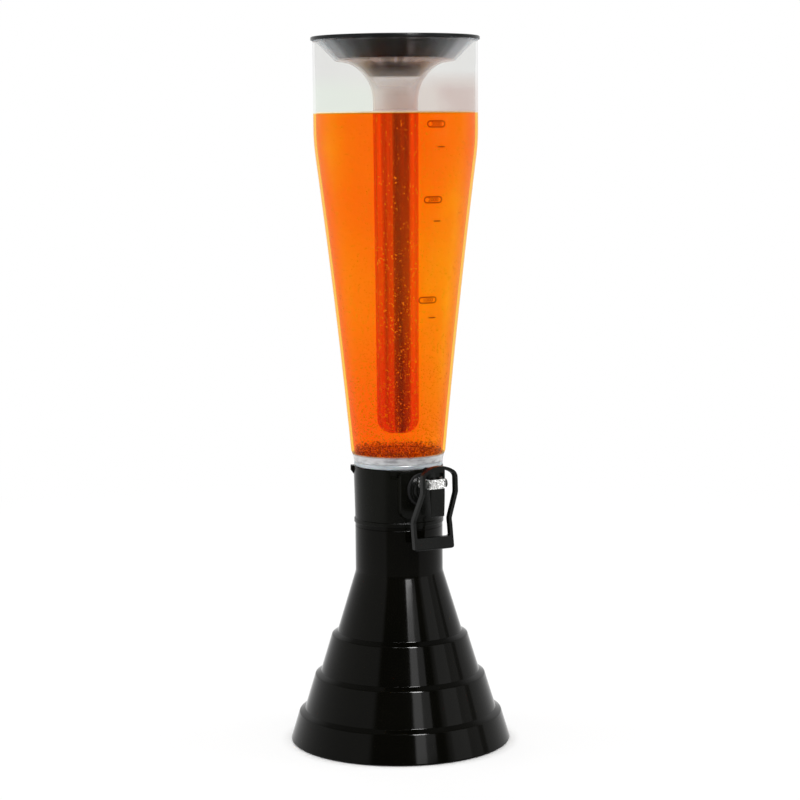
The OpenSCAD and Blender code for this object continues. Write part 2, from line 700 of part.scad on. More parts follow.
module valve_stem() color(steel) translate([0, -stem_y, 0]) difference() {
    union() {
        translate([0, 0, disc_foot_z]) cylinder(r = stem_r, h = stem_top_z - disc_foot_z);
        translate([0, 0, disc_foot_z]) cylinder(r = collar_disc_r, h = disc_h);
    }
    translate([-lift_pin_w / 2, 0, lift_pin_z]) rotate([0, 90, 0])
        cylinder(r = lift_pin_r + press, h = lift_pin_w);
}

module lift_pin() color(steel) translate([-lift_pin_w / 2, -stem_y, lift_pin_z]) rotate([0, 90, 0])
    cylinder(r = lift_pin_r, h = lift_pin_w);

module valve_plug() color(silicone) translate([0, -stem_y, 0]) rotate_extrude() polygon(softened([
    [0, seat_z, 0], [plug_r, seat_z, 0.2], [plug_r, disc_foot_z, 0.6], [0, disc_foot_z, 0]]));

base_shell();
foot_pads();
tap_collar();
collar_screws();
tap_outer_washer();
tap_inner_seal();
shank_nut();
tap_body();
spout_nozzle();
head_band();
stem_seal();
return_spring();
lever();
pivot_pin();
valve_stem();
valve_plug();
lift_pin();
tank_seal_ring();
tank();
ice_tube();
lid();
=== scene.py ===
"""Beer tower dispenser: materials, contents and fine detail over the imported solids."""
import math
import random

import bmesh
import bpy
from mathutils import Matrix, Vector
from mathutils.bvhtree import BVHTree


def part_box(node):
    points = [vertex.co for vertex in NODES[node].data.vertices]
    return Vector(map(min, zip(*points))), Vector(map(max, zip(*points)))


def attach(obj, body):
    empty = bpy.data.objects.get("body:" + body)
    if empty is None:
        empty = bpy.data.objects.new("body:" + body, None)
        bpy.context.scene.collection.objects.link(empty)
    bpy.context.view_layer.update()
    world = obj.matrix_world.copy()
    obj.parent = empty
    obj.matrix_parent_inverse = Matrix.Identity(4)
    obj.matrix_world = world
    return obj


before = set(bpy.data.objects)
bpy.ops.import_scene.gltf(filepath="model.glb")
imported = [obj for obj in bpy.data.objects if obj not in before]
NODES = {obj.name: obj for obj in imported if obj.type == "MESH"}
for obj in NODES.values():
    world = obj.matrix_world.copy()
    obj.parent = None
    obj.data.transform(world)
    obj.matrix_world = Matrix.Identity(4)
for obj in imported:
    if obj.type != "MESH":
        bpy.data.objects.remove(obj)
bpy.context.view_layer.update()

MM = 0.001

# ---- Where things are, in metres --------------------------------------------------------

BEER_TOP = 566 * MM
BEER_FOOT = 262.6 * MM
FILM = 0.35 * MM                # gap between the beer and the walls that hold it
TUBE_DOME = 12 * MM             # height over which the ice tube's foot is rounded
BEAD = 1.3 * MM                 # height of the froth where the beer's surface meets a wall
FROTH_LIFT = 0.05 * MM          # gap between the froth and the beer's surface
RING_SIDES = 128                # flat sides of a revolved piece

MARK_HEIGHTS = [403.6 * MM, 491.0 * MM, 556.0 * MM]
TICK_DROPS = [15.7 * MM, 18.5 * MM, 19.5 * MM]      # each tick's distance below its mark
MARK_W, MARK_H = 17.0 * MM, 5.1 * MM
MARK_LINE, MARK_RISE = 1.0 * MM, 0.22 * MM          # width and height of the line round a mark
MARK_SHIFT = -1.6 * MM          # the marks' middle, measured round the wall from the tap's side
TICK_W, TICK_H = 6.8 * MM, 0.5 * MM
TICK_LINE, TICK_RISE = 0.5 * MM, 0.2 * MM
LINE_SINK = 0.1 * MM            # depth at which a raised line starts inside the wall
NUMBER_SIZE = 5.0 * MM
NUMBER_RISE = 0.08 * MM         # half the thickness of a number

PALE_BUBBLES, FLOOR_BUBBLES = 6500, 2200
PALE_SIZES = [0.25, 0.3, 0.36, 0.44, 0.6]           # radii of bubbles, in mm
FLOOR_SIZES = [0.3, 0.4, 0.5, 0.62]
LOWEST_BUBBLE = BEER_FOOT + 2 * MM
BUBBLE_RISE = BEER_TOP - BEER_FOOT - 6 * MM         # height through which bubbles are spread
BUBBLE_LEVELS = 60              # heights at which the tank is measured for them
WALL_GAP, FLOOR_GAP = 1.5 * MM, 1.2 * MM            # what pale and floor bubbles leave to the wall
TUBE_FOOT = 277 * MM            # bubbles above this height keep clear of the ice tube
TUBE_ROOM, AXIS_ROOM = 22 * MM, 4 * MM              # radius they leave free there, and below it
FLOOR_BAND = 22 * MM            # how far in from the wall the floor's bubbles reach

# ---- Where colours change on the clear pieces -------------------------------------------

HAZE_TOP = 263 * MM             # the solid foot of the tank is hazy up to here
PLAIN_WALL = (585 * MM, 603 * MM)       # the dry wall is clouded below and plain above
PINK_SIDE = math.radians(60)            # azimuth towards which the clouds turn from green to pink
THROAT_TOP = 604 * MM           # the ice tube's frost thins out up to here
TUBE_SHADE_SIDE = math.radians(-16)           # azimuth of the painted grey band along the ice tube, a painted shade of the dark line that refraction draws
BY_TUBE = (27 * MM, 29 * MM)            # the beer's faces nearer to the axis are redder
PAINTED_GLOW_SIDE = math.radians(62)          # azimuth towards which the beer is painted yellower, a painted glow of light from behind
PAINTED_GLOW_FADE = (490 * MM, 535 * MM)      # heights between which that fades out
DEEP_BEER = (290 * MM, 390 * MM)        # the beer is redder below, and fades to plain in between

# ---- The studio -------------------------------------------------------------------------

WORLD_LIGHT = 0.72              # strength of the world as a light, where 1 is the white that is seen
CEILING = 0.25                  # brightness of the studio's ceiling in reflections
CEILING_FALL = (0.45, 0.70)     # upward part of the directions between which the ceiling starts
DARK_SIDE = math.radians(-20)   # azimuth of the room's dark side, as gloss shows it
DARK_EDGE = (0.70, 0.77)        # cosines of the angle from it between which the dark sets in
DARK_ROOM, DARK_FLOOR = 0.10, 0.33      # what the room and the floor keep of their brightness there
GAP_SIDE = math.radians(70)     # azimuth of a narrow dark gap in the room's wall
GAP_EDGE = (0.9962, 0.9986)
GAP_SHARE = 0.35                # what the wall keeps of its brightness in the gap
FLOOR_RADIUS = 14
FLOOR_SIDES = 96
LAMP_DISTANCE = 2.3
LAMP_HEIGHT, LAMP_TALL = 1.0, 1.5
LAMP_AIM, SHEEN_AIM = 0.3, 0.1  # heights on the tower's axis that the boxes face

# Boxes that light the tower and that gloss doesn't show: name, azimuth, width, power
LAMPS = [("wing_left", -120, 1.4, 26), ("wing_right", 60, 1.4, 26), ("front", -25, 1.2, 14),
         ("back", 165, 1.4, 20)]

# Boxes that only gloss shows: name, azimuth, height, width, height of the box, radiance
SHEENS = [("sheen_high", -6, 1.14, 0.62, 0.18, 28), ("sheen_low", -8, 0.86, 0.45, 0.36, 4.5),
          ("sheen_low_wide", -3, 0.86, 0.95, 0.36, 2.4), ("sheen_top", -6, 2.0, 0.62, 1.5, 110),
          ("sheen_above", -25, 3.2, 1.6, 0.8, 40), ("sheen_right", 38, 0.95, 0.9, 1.3, 0.9)]

# ---- Camera -----------------------------------------------------------------------------

CAMERA_AZIMUTH = math.radians(-30)
CAMERA_DISTANCE = 2.0089
CAMERA_HEIGHT = 0.5468
CAMERA_PITCH = math.radians(-6.717)
CAMERA_YAW = -0.00093           # the tower stands a little left of the picture's middle
CAMERA_ROLL = -0.0080
LENS = 101.25
SENSOR = 36


def around_tower(azimuth, distance, height):
    """A point at an azimuth from the tap's side, where positive is towards +X."""
    return Vector((math.sin(azimuth) * distance, -math.cos(azimuth) * distance, height))


def make_camera():
    data = bpy.data.cameras.new("camera")
    data.lens = LENS
    data.sensor_width = SENSOR
    camera = bpy.data.objects.new("camera", data)
    bpy.context.scene.collection.objects.link(camera)
    turn = Matrix.Rotation(CAMERA_AZIMUTH + CAMERA_YAW, 4, "Z")
    tilt = Matrix.Rotation(math.radians(90) + CAMERA_PITCH, 4, "X")
    roll = Matrix.Rotation(CAMERA_ROLL, 4, "Z")
    place = Matrix.Translation(around_tower(CAMERA_AZIMUTH, CAMERA_DISTANCE, CAMERA_HEIGHT))
    camera.matrix_world = place @ turn @ tilt @ roll
    bpy.context.scene.camera = camera


# ---- Materials --------------------------------------------------------------------------

def grey(value):
    return (value,) * 3


class Shader:
    """The node tree of a material or of the world, built node by node."""

    def __init__(self, name, owner=None):
        self.owner = owner or bpy.data.materials.new(name)
        self.owner.use_nodes = True
        self.nodes = self.owner.node_tree.nodes
        self.links = self.owner.node_tree.links
        self.nodes.clear()
        self.output = self.nodes.new("ShaderNodeOutputWorld" if owner else "ShaderNodeOutputMaterial")

    def add(self, kind, inputs=None, **settings):
        node = self.nodes.new("ShaderNode" + kind)
        for name, value in settings.items():
            setattr(node, name, value)
        for name, value in (inputs or {}).items():
            self.feed(node.inputs[name], value)
        return node

    def feed(self, socket, value):
        if isinstance(value, bpy.types.NodeSocket):
            self.links.new(value, socket)
        else:
            socket.default_value = value

    def math(self, operation, a, b):
        node = self.add("Math", operation=operation)
        self.feed(node.inputs[0], a)
        self.feed(node.inputs[1], b)
        return node.outputs[0]

    def span(self, value, low, high, to_low=0.0, to_high=1.0):
        """A value brought from one range to another and kept inside it."""
        inputs = {"Value": value, "From Min": low, "From Max": high, "To Min": to_low, "To Max": to_high}
        return self.add("MapRange", inputs).outputs["Result"]

    def ramp(self, fac, *stops):
        """Colours at positions between 0 and 1, given in rising order."""
        node = self.add("ValToRGB", {"Fac": fac})
        elements = node.color_ramp.elements
        elements[0].position, elements[0].color = stops[0][0], (*stops[0][1], 1)
        elements[1].position, elements[1].color = stops[-1][0], (*stops[-1][1], 1)
        for position, colour in stops[1:-1]:
            elements.new(position).color = (*colour, 1)
        return node.outputs["Color"]

    def place(self):
        return self.add("TexCoord").outputs["Object"]

    def height(self):
        return self.add("SeparateXYZ", {"Vector": self.place()}).outputs["Z"]

    def noise(self, scale, detail=3.0, stretch=(1, 1, 1)):
        mapping = self.add("Mapping", {"Vector": self.place(), "Scale": stretch})
        inputs = {"Vector": mapping.outputs["Vector"], "Scale": scale, "Detail": detail}
        return self.add("TexNoise", inputs).outputs["Fac"]

    def flat(self, way):
        """A point or direction without its height."""
        return self.add("VectorMath", {0: way, 1: (1, 1, 0)}, operation="MULTIPLY").outputs["Vector"]

    def length(self, way):
        return self.add("VectorMath", {0: way}, operation="LENGTH").outputs["Value"]

    def level(self, way):
        """The level direction in which a point or direction lies, one long."""
        return self.add("VectorMath", {0: self.flat(way)}, operation="NORMALIZE").outputs["Vector"]

    def toward(self, way, azimuth):
        """How far a point or direction lies towards an azimuth: 1 straight at it, 0 across it."""
        inputs = {0: self.level(way), 1: around_tower(azimuth, 1, 0)}
        return self.add("VectorMath", inputs, operation="DOT_PRODUCT").outputs["Value"]

    def stripes(self, count):
        """Noise that changes only round the axis, in upright stripes."""
        inputs = {"Vector": self.level(self.place()), "Scale": count, "Detail": 3.0}
        return self.add("TexNoise", inputs).outputs["Fac"]

    def bump(self, height, strength, depth):
        inputs = {"Height": height, "Strength": strength, "Distance": depth}
        return self.add("Bump", inputs).outputs["Normal"]

    def grazing(self):
        """0 where the surface faces the eye and 1 where it is seen edge on."""
        return self.add("LayerWeight", {"Blend": 0.5}).outputs["Facing"]

    def mirror_share(self, head_on, edge_on):
        """Share of light that a clear surface mirrors, by Schlick's rule."""
        rise = self.math("MULTIPLY", self.math("POWER", self.grazing(), 5.0), edge_on)
        return self.math("ADD", rise, head_on)

    def blend(self, fac, first, second, kind="MIX"):
        inputs = {"Fac": fac, "Color1": first, "Color2": second}
        return self.add("MixRGB", inputs, blend_type=kind).outputs[0]

    def unbent(self, tint):
        """What is behind the surface, tinted and not bent. Lamps shine through it as well."""
        seen = self.add("BsdfRefraction", {"Color": tint, "Roughness": 0.0, "IOR": 1.0}).outputs[0]
        lit = self.add("BsdfTransparent", {"Color": tint}).outputs[0]
        return self.mix(self.add("LightPath").outputs["Is Shadow Ray"], seen, lit)

    def mix(self, fac, first, second):
        node = self.add("MixShader")
        self.feed(node.inputs[0], fac)
        self.feed(node.inputs[1], first)
        self.feed(node.inputs[2], second)
        return node.outputs[0]

    def finish(self, surface, volume=None):
        self.feed(self.output.inputs["Surface"], surface)
        if volume is not None:
            self.feed(self.output.inputs["Volume"], volume)
        return self.owner


def moulded(name, dark, pale, roughness, shine, grain, grain_scale):
    """Moulded plastic or rubber: a near-flat tone, polish that varies and a fine grain."""
    s = Shader(name)
    tone = s.ramp(s.noise(14, 4), (0.3, dark), (0.75, pale))
    polish = s.span(s.noise(35, 5), 0.3, 0.75, roughness * 0.82, roughness * 1.25)
    normal = s.bump(s.noise(grain_scale, 2), grain, 0.0004)
    inputs = {"Base Color": tone, "Roughness": polish, "Normal": normal, "Specular IOR Level": shine}
    return s.finish(s.add("BsdfPrincipled", inputs).outputs[0])


def brushed(name, tone, roughness):
    """Bright metal with fine marks round it and a little tarnish."""
    s = Shader(name)
    colour = s.ramp(s.noise(120, 4), (0.3, [c * 0.86 for c in tone]), (0.7, tone))
    marks = s.noise(700, 2, (0.15, 0.15, 1))
    polish = s.span(marks, 0.3, 0.7, roughness * 0.7, roughness * 1.3)
    inputs = {"Base Color": colour, "Roughness": polish, "Metallic": 1.0,
              "Normal": s.bump(marks, 0.12, 0.0003)}
    return s.finish(s.add("BsdfPrincipled", inputs).outputs[0])


def hammered(name, tone):
    """Bright trim with a close pattern of small facets, which sparkle."""
    s = Shader(name)
    cells = s.add("TexVoronoi", {"Vector": s.place(), "Scale": 620.0}).outputs["Distance"]
    colour = s.ramp(cells, (0.1, tone), (0.75, [c * 0.55 for c in tone]))
    polish = s.span(s.noise(300, 3), 0.3, 0.7, 0.16, 0.34)
    inputs = {"Base Color": colour, "Roughness": polish, "Metallic": 1.0,
              "Normal": s.bump(cells, 0.75, 0.0008)}
    return s.finish(s.add("BsdfPrincipled", inputs).outputs[0])


def silicone(name, dark, pale):
    """Pale translucent rubber with cloudy smudges."""
    s = Shader(name)
    tone = s.ramp(s.noise(60, 4, (1, 1, 2)), (0.32, dark), (0.62, pale))
    inputs = {"Base Color": tone, "Roughness": s.span(s.noise(90), 0.3, 0.7, 0.18, 0.34),
              "Subsurface Weight": 0.15, "Normal": s.bump(s.noise(160, 3), 0.12, 0.0008)}
    body = s.add("BsdfPrincipled", inputs).outputs[0]
    return s.finish(s.mix(0.85, s.unbent((0.86, 0.88, 0.93, 1)), body))


def clear_wall():
    """Clear wall: faintly clouded, orange at its edges where beer stands in it, hazy at its foot."""
    s = Shader("tank_clear")
    height = s.height()
    grazing = s.grazing()
    side = s.math("MULTIPLY", s.toward(s.place(), PINK_SIDE), 0.22)
    drift = s.math("ADD", s.noise(9, 3), side)
    cloud = s.ramp(drift, (0.28, (0.935, 0.95, 0.93)), (0.48, (0.945, 0.945, 0.93)),
                   (0.62, (0.895, 0.865, 0.85)), (0.78, (0.88, 0.835, 0.82)))
    plain = s.ramp(grazing, (0.0, (0.94, 0.94, 0.933)), (0.85, (0.93, 0.93, 0.925)), (1.0, grey(0.85)))
    dry = s.blend(s.span(height, *PLAIN_WALL), cloud, plain)
    wet = s.ramp(grazing, (0.0, (0.995, 0.95, 0.78)), (0.45, (0.995, 0.88, 0.46)),
                 (0.7, (0.99, 0.74, 0.16)), (1.0, (0.97, 0.60, 0.06)))
    tint = s.blend(s.span(height, BEER_TOP - 0.6 * MM, BEER_TOP + 0.6 * MM), wet, dry)
    waves = s.bump(s.noise(16, 2), 0.05, 0.002)
    inputs = {"Color": (1, 1, 1, 1), "Roughness": 0.04, "Normal": waves}
    gloss = s.add("BsdfGlossy", inputs).outputs[0]
    clear = s.mix(s.mirror_share(0.004, 0.35), s.unbent(tint), gloss)
    smudge = s.noise(110, 4, (1, 1, 2.5))
    pale = s.ramp(smudge, (0.34, (0.30, 0.30, 0.315)), (0.46, (0.46, 0.47, 0.49)),
                  (0.64, (0.58, 0.59, 0.61)))
    inputs = {"Base Color": pale, "Roughness": 0.3, "Specular IOR Level": 0.3}
    hazy = s.add("BsdfPrincipled", inputs).outputs[0]
    foot = s.span(height, HAZE_TOP - 1.2 * MM, HAZE_TOP + 0.8 * MM, 0.84, 0.0)
    return s.finish(s.mix(foot, clear, hazy))


def frosted_tube():
    """Ice tube: clear with grey streaks along its length, a painted grey band of shade down one side, and
    frosted at the throat of its funnel.
    """
    s = Shader("ice_tube_frosted")
    height = s.height()
    grazing = s.grazing()
    streak = s.noise(1.0, 2, (150, 150, 1.5))
    streaks = s.ramp(streak, (0.34, (0.82, 0.81, 0.81)), (0.43, (0.92, 0.91, 0.91)),
                     (0.52, (0.99, 0.985, 0.98)), (0.64, (0.99, 0.985, 0.98)), (0.74, (0.91, 0.90, 0.90)))
    # Painted shade: the face-on middle is a little darker, for the dark line that refraction draws down a
    # clear tube; the edges are darker too.
    depth = s.ramp(grazing, (0.0, (0.95, 0.945, 0.94)), (0.11, (0.975, 0.97, 0.97)),
                   (0.5, (0.985, 0.98, 0.98)), (1.0, (0.88, 0.86, 0.86)))
    # Painted shade: a grey band down one side of the tube, standing in for the dark line of refraction.
    refraction_shade = s.ramp(s.toward(s.place(), TUBE_SHADE_SIDE), (0.895, grey(1)), (0.93, (0.72, 0.70, 0.69)),
                  (0.99, (0.66, 0.63, 0.62)))
    under = s.blend(1.0, s.blend(1.0, streaks, depth, "MULTIPLY"), refraction_shade, "MULTIPLY")
    rosy = s.ramp(streak, (0.35, (0.935, 0.905, 0.91)), (0.6, (0.965, 0.945, 0.95)))
    over = s.blend(s.span(height, THROAT_TOP - 25 * MM, THROAT_TOP), rosy, (0.975, 0.975, 0.97, 1))
    tint = s.blend(s.span(height, BEER_TOP - 1.5 * MM, BEER_TOP + 1.5 * MM), under, over)
    through = s.add("BsdfTransparent", {"Color": tint}).outputs[0]
    frost = s.add("BsdfDiffuse", {"Color": (0.72, 0.80, 0.87, 1)}).outputs[0]
    sides = s.ramp(grazing, (0.30, grey(0.004)), (0.38, grey(0.03)), (0.5, grey(0.07)), (0.78, grey(0.28)),
                   (1.0, grey(0.4)))
    # The frost thickens towards the edges; its upright stripes are painted reflection bands.
    edge = s.math("MULTIPLY", sides, s.span(s.stripes(7), 0.35, 0.65, 0.5, 1.5))
    throat = s.span(height, THROAT_TOP - 20 * MM, THROAT_TOP + 2 * MM, 0.36, 0.0)
    dry = s.span(height, BEER_TOP - 1 * MM, BEER_TOP + 4 * MM)
    body = s.mix(s.math("MULTIPLY", s.math("ADD", edge, throat), dry), through, frost)
    gloss = s.add("BsdfGlossy", {"Color": (1, 1, 1, 1), "Roughness": 0.1}).outputs[0]
    return s.finish(s.mix(s.mirror_share(0.003, 0.25), body, gloss))


def beer():
    """Beer: its colour deepens with the length of liquid that light passes, and reddens by the tube. One
    side is painted yellower, a painted glow of light from behind.
    """
    s = Shader("beer")
    height = s.height()
    # Painted glow: the tint turns yellower towards one side and fades out with height; the rest of its swirl
    # is random tone in the beer.
    reach = s.span(height, *PAINTED_GLOW_FADE, 0.2, -0.03)
    side = s.math("MULTIPLY", s.toward(s.place(), PAINTED_GLOW_SIDE), reach)
    drift = s.math("ADD", s.noise(16, 5, (1, 1, 0.5)), side)
    swirl_and_painted_glow = s.ramp(drift, (0.36, (1.0, 0.75, 0.08)), (0.5, (1.0, 0.82, 0.09)), (0.62, (1.0, 0.88, 0.09)),
                   (0.74, (1.0, 1.0, 0.10)))
    foot = s.ramp(s.span(height, *DEEP_BEER), (0.0, (0.98, 0.77, 0.8)), (1.0, grey(1)))
    radius = s.length(s.flat(s.place()))
    streak = s.noise(1.0, 2, (150, 150, 1.5))
    by_tube = s.ramp(streak, (0.36, (0.98, 0.46, 0.04)), (0.5, (0.99, 0.60, 0.05)))
    surface = s.blend(s.span(radius, *BY_TUBE), by_tube, swirl_and_painted_glow)
    tint = s.blend(1.0, surface, foot, "MULTIPLY")
    gloss = s.add("BsdfGlossy", {"Color": (1.0, 0.8, 0.5, 1), "Roughness": 0.1}).outputs[0]
    absorb = s.add("VolumeAbsorption", {"Color": (0.995, 0.83, 0.0, 1), "Density": 60.0}).outputs[0]
    return s.finish(s.mix(0.004, s.unbent(tint), gloss), absorb)


def speck(name, tone, share):
    """Small pale bubble or froth, part of which is seen through."""
    s = Shader(name)
    colour = s.ramp(s.noise(400, 2), (0.35, [c * 0.85 for c in tone]), (0.65, tone))
    body = s.add("BsdfPrincipled", {"Base Color": colour, "Roughness": 0.18}).outputs[0]
    through = s.add("BsdfTransparent", {"Color": (1.0, 0.95, 0.85, 1)}).outputs[0]
    return s.finish(s.mix(share, through, body))


def embossed():
    """Marks moulded into the clear wall, which show as darker and redder than the beer behind them."""
    s = Shader("embossed_mark")
    tone = s.ramp(s.noise(500, 3), (0.35, (0.14, 0.004, 0.001)), (0.7, (0.22, 0.009, 0.001)))
    body = s.add("BsdfDiffuse", {"Color": tone}).outputs[0]
    through = s.add("BsdfTransparent", {"Color": (0.93, 0.25, 0.15, 1)}).outputs[0]
    return s.finish(s.mix(0.42, through, body))


def dress(names, material):
    for name in names:
        slots = NODES[name].data.materials
        slots.clear()
        slots.append(material)


def dress_solids():
    dress(["base_shell"],
          moulded("base_gloss", (0.0012, 0.0012, 0.0006), (0.0024, 0.0022, 0.0014), 0.09, 0.08, 0.010, 260))
    dress(["tap_collar"],
          moulded("collar_gloss", (0.0018, 0.0019, 0.0012), (0.0042, 0.0044, 0.0030), 0.24, 0.08, 0.02, 320))
    dress(["tap_body", "spout_nozzle", "shank_nut", "lever"],
          moulded("tap_satin", (0.0022, 0.0024, 0.0020), (0.0050, 0.0054, 0.0046), 0.23, 0.12, 0.05, 1500))
    dress(["lid"],
          moulded("lid_gloss", (0.007, 0.0078, 0.0080), (0.012, 0.0132, 0.0135), 0.22, 0.07, 0.008, 260))
    dress(["foot_pads", "tap_outer_washer"],
          moulded("rubber", grey(0.004), grey(0.008), 0.7, 0.1, 0.2, 1800))
    dress(["head_band"], hammered("trim_silver", (0.92, 0.92, 0.90)))
    dress(["collar_screws", "return_spring", "valve_stem", "lift_pin"],
          brushed("steel", (0.62, 0.62, 0.61), 0.3))
    dress(["pivot_pin"], brushed("dark_steel", (0.055, 0.055, 0.053), 0.34))
    dress(["tank_seal_ring", "tap_inner_seal", "stem_seal", "valve_plug"],
          silicone("silicone", (0.24, 0.245, 0.265), (0.52, 0.53, 0.555)))
    dress(["tank"], clear_wall())
    dress(["ice_tube"], frosted_tube())


# ---- Reading the frame ------------------------------------------------------------------

PROBES = [Vector((math.cos(a), math.sin(a), 0)) for a in map(math.radians, (3, 41, 97, 158, 214, 283))]
FAR = 1.0                       # distance from the axis at which rays from outside start


class Wall:
    """Radii of a packed round solid, read by level rays in a few directions."""

    def __init__(self, node):
        mesh = NODES[node].data
        corners = [v.co for v in mesh.vertices]
        self.tree = BVHTree.FromPolygons(corners, [p.vertices for p in mesh.polygons])

    def inside(self, z):
        start = Vector((0, 0, z))
        return min(self.tree.ray_cast(start, way)[3] for way in PROBES)

    def outside(self, z):
        hits = [self.tree.ray_cast(way * FAR + Vector((0, 0, z)), -way)[3] for way in PROBES]
        return max(FAR - hit for hit in hits)


# ---- Mesh helpers -----------------------------------------------------------------------

def add_object(name, mesh, material, body):
    piece = bpy.data.objects.new(name, mesh)
    bpy.context.scene.collection.objects.link(piece)
    mesh.materials.append(material)
    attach(piece, body)
    return piece


def smooth(mesh, angle=35):
    for polygon in mesh.polygons:
        polygon.use_smooth = True
    mesh.set_sharp_from_angle(angle=math.radians(angle))


def revolved(name, profile):
    """A closed shape swept from a closed outline of (radius, height) points; a radius of 0 is a pole."""
    bm = bmesh.new()
    rings = []
    for radius, z in profile:
        if radius == 0:
            rings.append([bm.verts.new((0, 0, z))] * RING_SIDES)
        else:
            turns = [math.tau * i / RING_SIDES for i in range(RING_SIDES)]
            rings.append([bm.verts.new((radius * math.cos(t), radius * math.sin(t), z)) for t in turns])
    for lower, upper in zip(rings, rings[1:] + rings[:1]):
        for i in range(RING_SIDES):
            j = (i + 1) % RING_SIDES
            corners = list(dict.fromkeys([lower[i], lower[j], upper[j], upper[i]]))
            if len(corners) > 2:
                bm.faces.new(corners)
    bmesh.ops.recalc_face_normals(bm, faces=bm.faces)
    mesh = bpy.data.meshes.new(name)
    bm.to_mesh(mesh)
    bm.free()
    smooth(mesh)
    return mesh


def on_wall(wall, across, z, out):
    """The point that lies across metres round the wall from the tap's side, out metres proud of it."""
    radius = wall.outside(z)
    return around_tower(across / radius, radius + out, z)


def ribbon(bm, wall, outline, width, out):
    """A raised closed line on the wall, along an outline of (across, height) points."""
    rings = []
    count = len(outline)
    for i, (u, v) in enumerate(outline):
        before, after = outline[i - 1], outline[(i + 1) % count]
        run = Vector((after[0] - before[0], after[1] - before[1])).normalized()
        side = Vector((-run.y, run.x)) * width / 2
        section = [(-1, -LINE_SINK), (-0.6, out), (0.6, out), (1, -LINE_SINK)]
        points = [on_wall(wall, u + side.x * k, v + side.y * k, rise) for k, rise in section]
        rings.append([bm.verts.new(point) for point in points])
    for a, b in zip(rings, rings[1:] + rings[:1]):
        for k in range(4):
            bm.faces.new([a[k], a[(k + 1) % 4], b[(k + 1) % 4], b[k]])


def pill(z, width, height, turns=6):
    """Outline of a lying pill, as (across, height) points."""
    end = height / 2
    reach = width / 2 - end
    points = []
    for side in (1, -1):
        for i in range(turns + 1):
            a = math.radians(-90 + 180 * i / turns)
            points.append((side * (reach + end * math.cos(a)), z + side * end * math.sin(a)))
        points += [(side * reach * k, z + side * end) for k in (0.5, 0.0, -0.5)]
    return points


# ---- Contents and fine detail -----------------------------------------------------------

def make_beer(tank, tube):
    """The beer between the tank's wall and the ice tube, with a gap to both."""
    steps = 40
    tube_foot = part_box("ice_tube")[0].z - FILM
    heights = [BEER_FOOT + (BEER_TOP - BEER_FOOT) * i / steps for i in range(steps + 1)]
    outside = [(tank.inside(z) - FILM, z) for z in heights]
    tube_heights = [z for z in heights if z > tube_foot + TUBE_DOME]
    hole = [(tube.outside(z) + FILM, z) for z in reversed(tube_heights)]
    dome = [tube_foot + TUBE_DOME * k for k in (0.75, 0.5, 0.3, 0.15, 0.06)]
    hole += [(tube.outside(max(z, tube_foot + 2 * FILM)) + FILM, z) for z in dome]
    profile = [(0, BEER_FOOT)] + outside + hole + [(0, tube_foot)]
    add_object("beer", revolved("beer", profile), beer(), "tank")


def make_froth(tank, tube):
    """Thin pale beads where the beer's surface meets the two walls."""
    froth = speck("froth", (1.0, 0.90, 0.80), 0.85)
    for name, radius, way in (("froth_at_tank", tank.inside(BEER_TOP) - FILM, -1),
                              ("froth_at_tube", tube.outside(BEER_TOP) + FILM, 1)):
        profile = [(radius, BEER_TOP + FROTH_LIFT), (radius, BEER_TOP + BEAD),
                   (radius + way * BEAD * 0.5, BEER_TOP + BEAD * 0.55),
                   (radius + way * 2 * BEAD, BEER_TOP + FROTH_LIFT)]
        add_object(name, revolved(name, profile), froth, "tank")


def bubble_cloud(name, spots):
    """One mesh of small round bubbles, one for each (centre, radius)."""
    ball = bmesh.new()
    bmesh.ops.create_icosphere(ball, subdivisions=1, radius=1.0)
    corners = [v.co.copy() for v in ball.verts]
    sides = [[v.index for v in f.verts] for f in ball.faces]
    ball.free()
    points, faces = [], []
    for centre, radius in spots:
        first = len(points)
        points += [centre + corner * radius for corner in corners]
        faces += [[first + i for i in side] for side in sides]
    mesh = bpy.data.meshes.new(name)
    mesh.from_pydata(points, [], faces)
    smooth(mesh, 180)
    return mesh


def make_bubbles(tank):
    """Small bubbles, most of them low and close to the tank's wall, and a dense layer on its floor."""
    rng = random.Random(11)
    heights = [LOWEST_BUBBLE + BUBBLE_RISE * i / BUBBLE_LEVELS for i in range(BUBBLE_LEVELS + 1)]
    radii = [tank.inside(z) for z in heights]
    pale, brown = [], []
    for _ in range(PALE_BUBBLES):
        share = rng.random() ** 1.5
        z = LOWEST_BUBBLE + BUBBLE_RISE * share
        size = rng.choice(PALE_SIZES) * MM
        outer = radii[int(share * BUBBLE_LEVELS)] - WALL_GAP - size
        inner = TUBE_ROOM if z > TUBE_FOOT else AXIS_ROOM
        radius = outer - rng.random() ** 2.6 * (outer - inner)
        pale.append((around_tower(rng.random() * math.tau, radius, z), size))
    for _ in range(FLOOR_BUBBLES):
        z = BEER_FOOT + (1.0 + 6.5 * rng.random() ** 2.2) * MM
        size = rng.choice(FLOOR_SIZES) * MM
        outer = radii[0] - FLOOR_GAP - size
        radius = outer - rng.random() ** 1.8 * FLOOR_BAND
        spot = (around_tower(rng.random() * math.tau, radius, z), size)
        (brown if rng.random() < 0.7 else pale).append(spot)
    orange = speck("bubble", (1.0, 0.52, 0.16), 0.8)
    add_object("bubbles", bubble_cloud("bubbles", pale), orange, "tank")
    dark = speck("floor_bubble", (0.20, 0.07, 0.02), 1.0)
    add_object("floor_bubbles", bubble_cloud("floor_bubbles", brown), dark, "tank")


